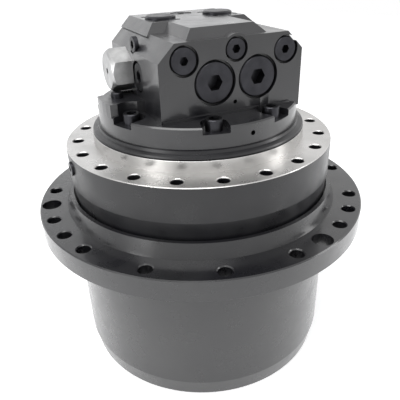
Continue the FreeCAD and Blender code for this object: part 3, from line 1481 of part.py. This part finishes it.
def make_block_fittings():
    length = S.screw_pocket_floor - S.parting_height + S.screw_grip
    screw = socket_screw("block_screw_master", S.screw_radius, S.screw_head_radius, S.screw_head_height,
                         length, S.screw_socket)
    spots = []
    for angle in block_screw_angles():
        x, y = around(float(S.screw_circle), angle)
        spots.append(Placement(Vector(x, y, float(S.screw_pocket_floor)), Rotation(Vector(0, 0, 1), angle)))
    copies("valve_block_screws", screw, spots)
    face = S.plug_recess - S.block_front
    large = socket_plug("large_plug_master", S.large_plug_radius, S.plug_seat_depth, S.large_plug_socket,
                        S.large_plug_radius - 4 - S.seat_gap, 15.0)
    copies("check_valve_plugs", large,
           [Placement(Vector(x, face, S.check_height), TO_FRONT) for x in (S.left_check_x, S.right_check_x)])
    small = []
    for name, x, height, radius, thread in (
        ("left_pilot_plug", S.left_plug_x, S.left_plug_height, S.left_plug_radius, S.speed_spool_radius + 3),
        ("middle_pilot_plug", S.middle_plug_x, S.middle_plug_height, S.middle_plug_radius, 7.0),
        ("right_pilot_plug", S.right_plug_x, S.right_plug_height, S.right_plug_radius, 8.5),
    ):
        plug = socket_plug(name, radius, S.plug_seat_depth, S.small_plug_socket, thread - S.seat_gap, 9.0)
        small.append(place(plug, x, face, height, TO_FRONT))
    wall = socket_plug("wall_plug", S.wall_plug_radius, 4.7, S.small_plug_socket,
                       S.wall_plug_radius - 2 - S.seat_gap, 0.6)
    small.append(place(wall, 0.6 - S.block_left, S.wall_plug_y, S.wall_plug_height, TO_LEFT))
    bundle("pilot_plugs", small)
    relief = socket_plug("relief_master", S.relief_plug_radius, 5.0, 12.0,
                         S.relief_plug_radius - 4 - S.seat_gap, S.relief_depth - 9)
    copies("relief_valves", relief, [
        Placement(Vector(1 - S.block_left, S.relief_y, S.relief_height), TO_LEFT),
        Placement(Vector(S.block_right - 1, S.relief_y, S.relief_height), TO_RIGHT),
    ])
    cap = new_body("cap_master")
    shape = hexagon(sketch(cap, "XY_Plane"), S.cap_across_flats)
    pad(cap, shape, S.cap_length)
    revolve(cap, [
        (0, -S.cap_thread_length),
        (S.cap_thread_radius - S.seat_gap, -S.cap_thread_length),
        (S.cap_thread_radius - S.seat_gap, 0),
        (S.cap_thread_radius - S.seat_gap, 2),
        (0, 2),
    ])
    # the bevel that rounds the hexagon's outer corners
    corner = S.cap_across_flats / math.sqrt(3)
    revolve(cap, [
        (S.cap_across_flats / 2 - 1.5, S.cap_length + 0.2),
        (corner + 0.5, S.cap_length - 5),
        (corner + 3, S.cap_length - 5),
        (corner + 3, S.cap_length + 2),
        (S.cap_across_flats / 2 - 1.5, S.cap_length + 2),
    ], cut=True)
    bore = sketch(cap, "XY_Plane", -S.cap_thread_length)
    circle(bore, 0, 0, S.cap_bore_radius)
    pocket(cap, bore, 10, backwards=True)
    end = sketch(cap, "XY_Plane", S.cap_length)
    circle(end, 0, 0, 3.2)
    pocket(cap, end, 3)
    copies("counterbalance_caps", cap, [
        Placement(Vector(-S.block_left, S.spool_y, S.spool_height), TO_LEFT),
        Placement(Vector(S.block_right, S.spool_y, S.spool_height), TO_RIGHT),
    ])
    top = S.block_top + S.pad_rise
    port_cap = turned("port_cap_master", [
        (0, -8),
        (S.main_port_radius - S.seat_gap, -8),
        (S.main_port_radius - S.seat_gap, 0),
        (S.main_port_radius + 2, 0),
        (S.main_port_radius + 2, 2.0),
        (S.main_port_radius, 3.2),
        (0, 3.2),
    ])
    copies("port_caps", port_cap,
           [Placement(Vector(x, S.main_port_y, top), UP) for x in (S.left_port_x, S.right_port_x)])
    drain = socket_plug("drain_master", S.drain_port_radius + 3, 4.0, 8.0,
                        S.drain_port_radius - S.seat_gap, 8.0)
    lug = socket_plug("lug_master", S.lug_plug_radius, 6.0, 5.0, S.lug_plug_radius - 1.5 - S.seat_gap, 8.0)
    bundle("drain_plugs", [
        place(drain, S.drain_port_x, S.drain_port_y, top - 0.5),
        place(lug, S.lug_plug_x, S.lug_plug_y, S.lug_top + 6),
    ])
    side = socket_plug("case_plug", S.drum_plug_radius, 4.0, 6.0, S.drum_plug_radius - 2 - S.seat_gap, 6.0)
    x, y = around(S.drum_radius + 2.25, float(S.drum_plug_angle))
    turn = Rotation(Vector(0, 0, 1), float(S.drum_plug_angle)).multiply(TO_RIGHT)
    place(side, x, y, S.drum_plug_height, turn)


def make_valves():
    spool_bottom = -S.block_left + S.cap_thread_length + 1
    length = S.block_left + S.block_right - 2 * (S.cap_thread_length + 1)
    land = S.spool_radius
    neck = land - 5
    end_radius = 4.0
    nose = 10.0
    middle = length / 2
    spool = new_body("counterbalance_spool")
    revolve(spool, [
        (0, nose),
        (land, nose),
        (land, 0.3 * length),
        (neck, 0.3 * length + 2),
        (neck, middle - 9),
        (land, middle - 9),
        (land, middle + 9),
        (neck, middle + 9),
        (neck, 0.7 * length - 2),
        (land, 0.7 * length),
        (land, length - nose),
        (0, length - nose),
    ])
    place(spool, spool_bottom, S.spool_y, S.spool_height, TO_RIGHT)
    spring_inner = end_radius
    left = spool_spring("left_spool_spring", spring_inner, spool_bottom + nose, -1)
    right = spool_spring("right_spool_spring", spring_inner, spool_bottom + length - nose, 1)
    bundle("spool_springs", [left, right])
    speed = new_body("speed_spool")
    radius = S.speed_spool_radius
    revolve(speed, [
        (0, 0),
        (radius, 0),
        (radius, 14),
        (radius - 2.5, 14),
        (radius - 2.5, 26),
        (radius, 26),
        (radius, 44),
        (0, 44),
    ])
    start = S.block_front - S.plug_recess - S.plug_seat_depth - 9 - 1
    place(speed, S.left_plug_x, -start, S.left_plug_height, TO_FRONT.inverted())
    poppet_radius = S.check_bore_radius - S.running_gap
    seat = 8.0
    for name, x in (("left_check_poppet", S.left_check_x), ("right_check_poppet", S.right_check_x)):
        poppet = new_body(name)
        revolve(poppet, [
            (0, seat - 1.9),
            (S.check_seat_radius - 1.2, seat - 1.9),
            (poppet_radius - 1, seat + 6.7),
            (poppet_radius, seat + 8),
            (poppet_radius, seat + 30),
            (poppet_radius - 4, seat + 30),
            (poppet_radius - 4, seat + 14),
            (0, seat + 14),
        ])
        place(poppet, x, 0, S.check_height, TO_FRONT)


def spool_spring(label, inner, start, direction):
    """A coil spring of square wire beside the spool's end, drawn at its working length."""
    wire = 1.6
    turns = 3.5
    radius = float(inner) + 2.6
    pitch = 3.6
    reach = turns * pitch
    helix = Part.makeHelix(pitch, reach, radius)
    half = wire / 2
    corners = [Vector(radius - half, 0, -half), Vector(radius + half, 0, -half),
               Vector(radius + half, 0, half), Vector(radius - half, 0, half)]
    section = Part.makePolygon(corners + corners[:1])
    coil = helix.makePipeShell([section], True, True)
    made = doc.addObject("Part::Feature", label)
    made.Shape = coil
    turn = TO_RIGHT if direction > 0 else TO_LEFT
    made.Placement = Placement(Vector(float(start) + direction * 0.9, float(S.spool_y), float(S.spool_height)), turn)
    return made


# ---------------------------------------------------------------- build, check and write

make_hub()
make_ring_gear()
make_end_cover()
make_cover_screws()
make_cover_plugs()
make_thrust_pad()
make_first_stage()
make_second_stage()
make_main_bearings()
seal_half("lower", SEAL_FLOOR, 1)
seal_half("upper", SEAL_CEILING, -1)
make_spindle()
make_motor()
make_brake()
make_valve_block()
make_block_fittings()
make_valves()

NODES = [
    "hub", "ring_gear", "end_cover", "end_cover_screws", "cover_plugs", "thrust_pad",
    "first_planet_1", "first_planet_2", "first_planet_3", "first_carrier", "first_planet_pins", "first_sun",
    "second_planet_1", "second_planet_2", "second_planet_3", "second_planet_4", "second_sun",
    "second_carrier", "second_planet_pins",
    "bearing_inner_rings", "bearing_outer_rings", "bearing_rollers", "bearing_cages", "bearing_nut",
    "lower_seal_ring", "lower_seal_cord", "upper_seal_ring", "upper_seal_cord",
    "spindle", "swash_plate", "piston_shoes", "pistons", "retainer_plate", "retainer_guide",
    "cylinder_block", "valve_plate", "motor_shaft", "shaft_bearings", "shaft_seal",
    "friction_discs", "separator_plates", "brake_piston", "brake_springs",
    "valve_block", "valve_block_screws", "check_valve_plugs", "pilot_plugs", "relief_valves",
    "counterbalance_caps", "port_caps", "drain_plugs", "case_plug",
    "counterbalance_spool", "spool_springs", "speed_spool", "left_check_poppet", "right_check_poppet",
]

doc.recompute()
broken = [thing.Name for thing in doc.Objects if "Invalid" in thing.State or "Error" in thing.State]
if broken:
    raise SystemExit(f"failed features: {broken}")

os.makedirs("parts", exist_ok=True)
by_label = {thing.Label: thing for thing in doc.Objects}
for node in NODES:
    shape = by_label[node].Shape
    if shape.isNull() or not shape.isValid() or not shape.Solids:
        raise SystemExit(f"{node} has no valid solid")
for node in NODES:
    by_label[node].Shape.exportStep(os.path.join("parts", node + ".step"))
print(len(NODES), "sub-parts written")
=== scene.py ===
# %% [markdown]
# # Excavator final drive, dressed for the picture
#
# The solids of the drive arrive packed: a hub that turns, a spindle that bolts to the machine's frame,
# a valve block on top and the gears and bearings between them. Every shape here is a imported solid:
# this scene adds the finishes, a stage, the light and a camera.
#
# Two rules keep it useful elsewhere:
#
# 1. A finish is worked out from where a point lies on the part, never from where the camera stands.
# 2. The light is plain, so a colour shows as it is written.

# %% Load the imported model
import math

import bpy
from mathutils import Matrix, Vector

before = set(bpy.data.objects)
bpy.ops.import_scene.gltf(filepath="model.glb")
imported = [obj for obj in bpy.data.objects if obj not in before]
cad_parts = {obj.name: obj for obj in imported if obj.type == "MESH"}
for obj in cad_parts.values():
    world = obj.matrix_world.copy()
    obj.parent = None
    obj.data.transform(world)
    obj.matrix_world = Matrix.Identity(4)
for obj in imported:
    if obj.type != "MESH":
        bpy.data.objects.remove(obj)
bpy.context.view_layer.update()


# %% [markdown]
# ## Building materials
#
# Every finish starts as a principled surface. `Finish` keeps the node tree in hand, so that a finish reads
# as a short list of steps: lay a pattern, map it to a range, plug it in.

# %% A small kit for node materials
class Finish:
    """One procedural material, in the object's own coordinates (metres)."""

    def __init__(self, name, color, metallic, roughness):
        self.material = bpy.data.materials.new(name)
        self.material.use_nodes = True
        self.nodes = self.material.node_tree.nodes
        self.links = self.material.node_tree.links
        self.surface = self.nodes["Principled BSDF"]
        self.surface.inputs["Base Color"].default_value = (*color, 1)
        self.surface.inputs["Metallic"].default_value = metallic
        self.surface.inputs["Roughness"].default_value = roughness
        self.place = self.nodes.new("ShaderNodeTexCoord").outputs["Object"]

    def plug(self, socket, value):
        if isinstance(value, bpy.types.NodeSocket):
            self.links.new(value, socket)
        else:
            socket.default_value = value

    def math(self, operation, *values):
        node = self.nodes.new("ShaderNodeMath")
        node.operation = operation
        for socket, value in zip(node.inputs, values):
            self.plug(socket, value)
        return node.outputs[0]

    def axis(self, letter):
        node = self.nodes.new("ShaderNodeSeparateXYZ")
        self.links.new(self.place, node.inputs[0])
        return node.outputs[letter]

    def radius(self):
        """Distance from the drive's axis."""
        squares = [self.math("MULTIPLY", side, side) for side in (self.axis("X"), self.axis("Y"))]
        return self.math("SQRT", self.math("ADD", *squares))

    def noise(self, scale, detail=3.0):
        node = self.nodes.new("ShaderNodeTexNoise")
        self.links.new(self.place, node.inputs["Vector"])
        node.inputs["Scale"].default_value = scale
        node.inputs["Detail"].default_value = detail
        return node.outputs["Fac"]

    def spread(self, value, low, high, to_low=0.0, to_high=1.0):
        node = self.nodes.new("ShaderNodeMapRange")
        self.plug(node.inputs["Value"], value)
        node.inputs["From Min"].default_value = low
        node.inputs["From Max"].default_value = high
        node.inputs["To Min"].default_value = to_low
        node.inputs["To Max"].default_value = to_high
        return node.outputs["Result"]

    def mix(self, factor, first, second):
        node = self.nodes.new("ShaderNodeMix")
        node.data_type = "RGBA"
        self.plug(node.inputs["Factor"], factor)
        for socket, value in ((node.inputs["A"], first), (node.inputs["B"], second)):
            self.plug(socket, (*value, 1) if isinstance(value, tuple) else value)
        return node.outputs["Result"]

    def bump(self, height, strength, distance, under=None):
        node = self.nodes.new("ShaderNodeBump")
        self.plug(node.inputs["Height"], height)
        node.inputs["Strength"].default_value = strength
        node.inputs["Distance"].default_value = distance
        if under is not None:
            self.links.new(under, node.inputs["Normal"])
        return node.outputs["Normal"]

    def color(self, value):
        self.plug(self.surface.inputs["Base Color"], value)

    def rough(self, value):
        self.plug(self.surface.inputs["Roughness"], value)

    def metal(self, value):
        self.plug(self.surface.inputs["Metallic"], value)

    def normal(self, value):
        self.links.new(value, self.surface.inputs["Normal"])


def seen_directly(tree):
    """1 where a ray comes from the camera, or by way of a mirror or glass, and 0 elsewhere."""
    path = tree.nodes.new("ShaderNodeLightPath")
    seen = path.outputs["Is Camera Ray"]
    for kind in ("Is Glossy Ray", "Is Transmission Ray"):
        either = tree.nodes.new("ShaderNodeMath")
        either.operation = "MAXIMUM"
        tree.links.new(seen, either.inputs[0])
        tree.links.new(path.outputs[kind], either.inputs[1])
        seen = either.outputs[0]
    return seen


# %% [markdown]
# ## The finishes
#
# ** Paint.** Sprayed machine enamel over a casting is not one black: its tone wanders a little, it gathers a fine
# orange peel and shows the sand of the casting underneath.

# %% Paint
def painted(name, sand, gloss):
    """Black enamel over cast iron. `sand` is how much of the casting shows through."""
    made = Finish(name, (0.008, 0.008, 0.010), 0.0, gloss)
    cloud = made.noise(14.0, 4.0)
    made.color(made.mix(made.spread(cloud, 0.35, 0.7), (0.006, 0.006, 0.008), (0.012, 0.012, 0.013)))
    made.rough(made.spread(made.noise(38.0, 5.0), 0.3, 0.7, gloss - 0.06, gloss + 0.10))
    grain = made.noise(900.0, 2.0)
    peel = made.noise(260.0, 2.0)
    rough_cast = made.bump(grain, sand, 0.0003)
    made.normal(made.bump(peel, 0.10, 0.0003, rough_cast))
    made.surface.inputs["Coat Weight"].default_value = 0.6
    made.surface.inputs["Coat Roughness"].default_value = 0.14
    return made


paint_turned = painted("paint_over_turned_iron", 0.03, 0.28).material
paint_cast = painted("paint_over_cast_iron", 0.22, 0.32).material
print("paint: one enamel over two grounds, turned and cast")


# %% [markdown]
# **Turned steel.** A lathe leaves rings round the axis. They are a wave in the distance from the axis,
# uneven because the tool's feed is.

# %% Bare metals
def turning_rings(made, pitch):
    radius = made.radius()
    uneven = made.math("ADD", radius, made.math("MULTIPLY", made.noise(30.0), 0.0004))
    return made.math("SINE", made.math("MULTIPLY", uneven, 2 * math.pi / pitch))


def bare_steel(name, color, roughness, pitch=0.0006, depth=0.12):
    made = Finish(name, color, 1.0, roughness)
    rings = turning_rings(made, pitch)
    made.normal(made.bump(rings, depth, 0.0001))
    made.rough(made.spread(made.noise(60.0, 4.0), 0.3, 0.7, roughness - 0.05, roughness + 0.09))
    bright = tuple(min(1.0, c * 1.12) for c in color)
    made.color(made.mix(made.spread(made.noise(24.0), 0.3, 0.7), color, bright))
    return made


def even_metal(name, color, roughness, grain=700.0, depth=0.05, metallic=1.0):
    """A metal with no direction to its grain: ground, blackened, plated or cast."""
    made = Finish(name, color, metallic, roughness)
    made.rough(made.spread(made.noise(50.0, 4.0), 0.3, 0.7, roughness - 0.05, roughness + 0.08))
    dark = tuple(c * 0.72 for c in color)
    made.color(made.mix(made.spread(made.noise(90.0, 4.0), 0.35, 0.7), color, dark))
    made.normal(made.bump(made.noise(grain, 3.0), depth, 0.0002))
    return made


gear_steel = bare_steel("ground_gear_steel", (0.40, 0.40, 0.41), 0.30).material
bearing_steel = bare_steel("polished_bearing_steel", (0.62, 0.62, 0.63), 0.16, 0.0004, 0.04).material
black_oxide = even_metal("black_oxide", (0.045, 0.045, 0.05), 0.36).material
zinc = even_metal("zinc_plate", (0.50, 0.50, 0.50), 0.34).material
sheet_steel = even_metal("pressed_sheet_steel", (0.45, 0.42, 0.38), 0.38).material
bronze = even_metal("bearing_bronze", (0.55, 0.36, 0.15), 0.35).material
spring_steel = even_metal("spring_steel", (0.16, 0.16, 0.18), 0.32).material
iron = even_metal("bare_cast_iron", (0.20, 0.20, 0.20), 0.55, 400.0, 0.3).material
lining = even_metal("friction_lining", (0.12, 0.08, 0.05), 0.8, 1200.0, 0.4, 0.0).material
nitrile = even_metal("nitrile_rubber", (0.015, 0.015, 0.015), 0.55, 500.0, 0.1, 0.0).material
print("bare finishes: two turned steels and eight even ones")


# %% [markdown]
# **The spindle** carries both: its drum is painted, while the frame face and the pilot step stay bare
# because they have to seat true. Height and radius alone decide which is which.

# %% Spindle: paint and bare seat in one material
SEAT_BOTTOM = 0.2782
SEAT_TOP = 0.2917
SEAT_INNER_RADIUS = 0.1244
BORE_TOP = 0.2700
BORE_RADIUS = 0.1120


def spindle_finish():
    made = painted("spindle_paint_and_bare_seat", 0.03, 0.30)
    radius = made.radius()
    height = made.axis("Z")
    above = made.math("GREATER_THAN", height, SEAT_BOTTOM)
    below = made.math("LESS_THAN", height, SEAT_TOP)
    outside = made.math("GREATER_THAN", radius, SEAT_INNER_RADIUS)
    seat = made.math("MULTIPLY", made.math("MULTIPLY", above, below), outside)
    low = made.math("LESS_THAN", height, BORE_TOP)
    deep = made.math("LESS_THAN", radius, BORE_RADIUS)
    bare = made.math("MAXIMUM", seat, made.math("MULTIPLY", deep, low))
    painted_color = made.surface.inputs["Base Color"].links[0].from_socket
    steel = made.mix(made.spread(made.noise(24.0), 0.3, 0.7), (0.50, 0.495, 0.485), (0.64, 0.63, 0.62))
    made.color(made.mix(bare, painted_color, steel))
    made.metal(bare)
    painted_rough = made.surface.inputs["Roughness"].links[0].from_socket
    steel_rough = made.spread(made.noise(60.0, 4.0), 0.3, 0.7, 0.24, 0.36)
    blend = made.nodes.new("ShaderNodeMix")
    made.plug(blend.inputs["Factor"], bare)
    made.plug(blend.inputs["A"], painted_rough)
    made.plug(blend.inputs["B"], steel_rough)
    made.rough(blend.outputs["Result"])
    rings = made.math("MULTIPLY", turning_rings(made, 0.0011), bare)
    painted_normal = made.surface.inputs["Normal"].links[0].from_socket
    made.normal(made.bump(rings, 0.25, 0.00012, painted_normal))
    made.surface.inputs["Coat Weight"].default_value = 0.0
    return made.material


# %% Give every solid its finish
FINISHES = {
    "hub": paint_turned,
    "end_cover": paint_turned,
    "spindle": spindle_finish(),
    "valve_block": paint_cast,
    "end_cover_screws": black_oxide,
    "cover_plugs": black_oxide,
    "valve_block_screws": black_oxide,
    "check_valve_plugs": black_oxide,
    "pilot_plugs": black_oxide,
    "relief_valves": black_oxide,
    "port_caps": black_oxide,
    "drain_plugs": black_oxide,
    "case_plug": black_oxide,
    "bearing_nut": black_oxide,
    "counterbalance_caps": zinc,
    "separator_plates": zinc,
    "thrust_pad": bronze,
    "piston_shoes": bronze,
    "valve_plate": bronze,
    "second_carrier": iron,
    "brake_piston": iron,
    "bearing_cages": sheet_steel,
    "friction_discs": lining,
    "brake_springs": spring_steel,
    "spool_springs": spring_steel,
    "lower_seal_cord": nitrile,
    "upper_seal_cord": nitrile,
    "shaft_seal": nitrile,
    "bearing_inner_rings": bearing_steel,
    "bearing_outer_rings": bearing_steel,
    "bearing_rollers": bearing_steel,
    "first_planet_pins": bearing_steel,
    "second_planet_pins": bearing_steel,
    "lower_seal_ring": bearing_steel,
    "upper_seal_ring": bearing_steel,
    "pistons": bearing_steel,
    "shaft_bearings": bearing_steel,
    "counterbalance_spool": bearing_steel,
    "speed_spool": bearing_steel,
    "left_check_poppet": bearing_steel,
    "right_check_poppet": bearing_steel,
}

for name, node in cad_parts.items():
    node.data.materials.clear()
    node.data.materials.append(FINISHES.get(name, gear_steel))


# %% [markdown]
# ## Stage, light and camera
#
# A white floor that bends up into a white wall, a big soft lamp above, and two fill lamps.

# %% Stage
def sweep():
    """Floor and wall in one curved sheet."""
    depth, height, bend, width = 2.2, 2.4, 0.6, 3.2
    section = [(-2.6, 0.0), (depth - bend, 0.0)]
    for step in range(1, 13):
        angle = math.pi / 2 * step / 12
        section.append((depth - bend + bend * math.sin(angle), bend - bend * math.cos(angle)))
    section.append((depth, height))
    points = [(x, y, z) for x in (-width, width) for y, z in section]
    count = len(section)
    faces = [(i, i + 1, count + i + 1, count + i) for i in range(count - 1)]
    mesh = bpy.data.meshes.new("sweep")
    mesh.from_pydata(points, [], faces)
    mesh.shade_smooth()
    made = bpy.data.objects.new("sweep", mesh)
    bpy.context.scene.collection.objects.link(made)
    made.location.z = -0.0005
    made.rotation_euler.z = math.radians(24.6)
    return made


floor = sweep()
paper = Finish("white_paper", (0.90, 0.90, 0.90), 0.0, 0.9)
PAPER_GLOW = 0.6
glow = paper.math("MULTIPLY", seen_directly(paper.material.node_tree), PAPER_GLOW)
paper.surface.inputs["Emission Color"].default_value = (1, 1, 1, 1)
paper.plug(paper.surface.inputs["Emission Strength"], glow)
floor.data.materials.append(paper.material)
print("floor: one curved white sheet with", len(floor.data.polygons), "faces; it keeps the shadow")


# %% Lamps and world
def soft_lamp(name, place, aim, size, power):
    data = bpy.data.lights.new(name, "AREA")
    data.shape = "RECTANGLE"
    data.size, data.size_y = size
    data.energy = power
    lamp = bpy.data.objects.new(name, data)
    bpy.context.scene.collection.objects.link(lamp)
    lamp.location = place
    lamp.rotation_euler = (Vector(aim) - Vector(place)).to_track_quat("-Z", "Y").to_euler()
    return lamp


middle = (0.0, 0.0, 0.22)
soft_lamp("top_lamp", (-0.35, -0.25, 1.55), middle, (1.2, 0.9), 16.0)
soft_lamp("left_lamp", (-1.5, -0.55, 0.75), middle, (0.5, 1.0), 7.0)
soft_lamp("right_lamp", (1.35, -0.75, 0.65), middle, (0.4, 1.0), 6.0)

world = bpy.context.scene.world or bpy.data.worlds.new("studio")
bpy.context.scene.world = world
world.use_nodes = True
nodes = world.node_tree.nodes
links = world.node_tree.links
room = nodes["Background"]
room.inputs["Color"].default_value = (0.80, 0.81, 0.83, 1)
room.inputs["Strength"].default_value = 0.55
# the room lights the object at 0.55, and is plain white where it is seen
white = nodes.new("ShaderNodeBackground")
white.inputs["Color"].default_value = (1, 1, 1, 1)
white.inputs["Strength"].default_value = 1.0
choice = nodes.new("ShaderNodeMixShader")
links.new(seen_directly(world.node_tree), choice.inputs[0])
links.new(room.outputs[0], choice.inputs[1])
links.new(white.outputs[0], choice.inputs[2])
links.new(choice.outputs[0], nodes["World Output"].inputs["Surface"])
bpy.context.scene.view_settings.view_transform = "Standard"
print("light: three soft lamps and a pale room at strength", room.inputs["Strength"].default_value)


# %% Camera, where the photographer stood
back = Vector((-0.3665, -0.8004, 0.4744))
right = Vector((0.9092, -0.4163, 0.0))
up = Vector((0.1975, 0.4313, 0.8803))
roll = math.radians(-1.90)
tilted_right = math.cos(roll) * right + math.sin(roll) * up
tilted_up = -math.sin(roll) * right + math.cos(roll) * up
lens = bpy.data.cameras.new("camera")
lens.sensor_width = 36.0
lens.lens = 42.19
camera = bpy.data.objects.new("camera", lens)
bpy.context.scene.collection.objects.link(camera)
turn = Matrix((tilted_right, tilted_up, back)).transposed().to_4x4()
camera.matrix_world = Matrix.Translation((-0.2275, -0.4956, 0.4757)) @ turn
bpy.context.scene.camera = camera
print("camera: lens", round(lens.lens, 2), "mm, seen from", [round(v, 3) for v in camera.location])
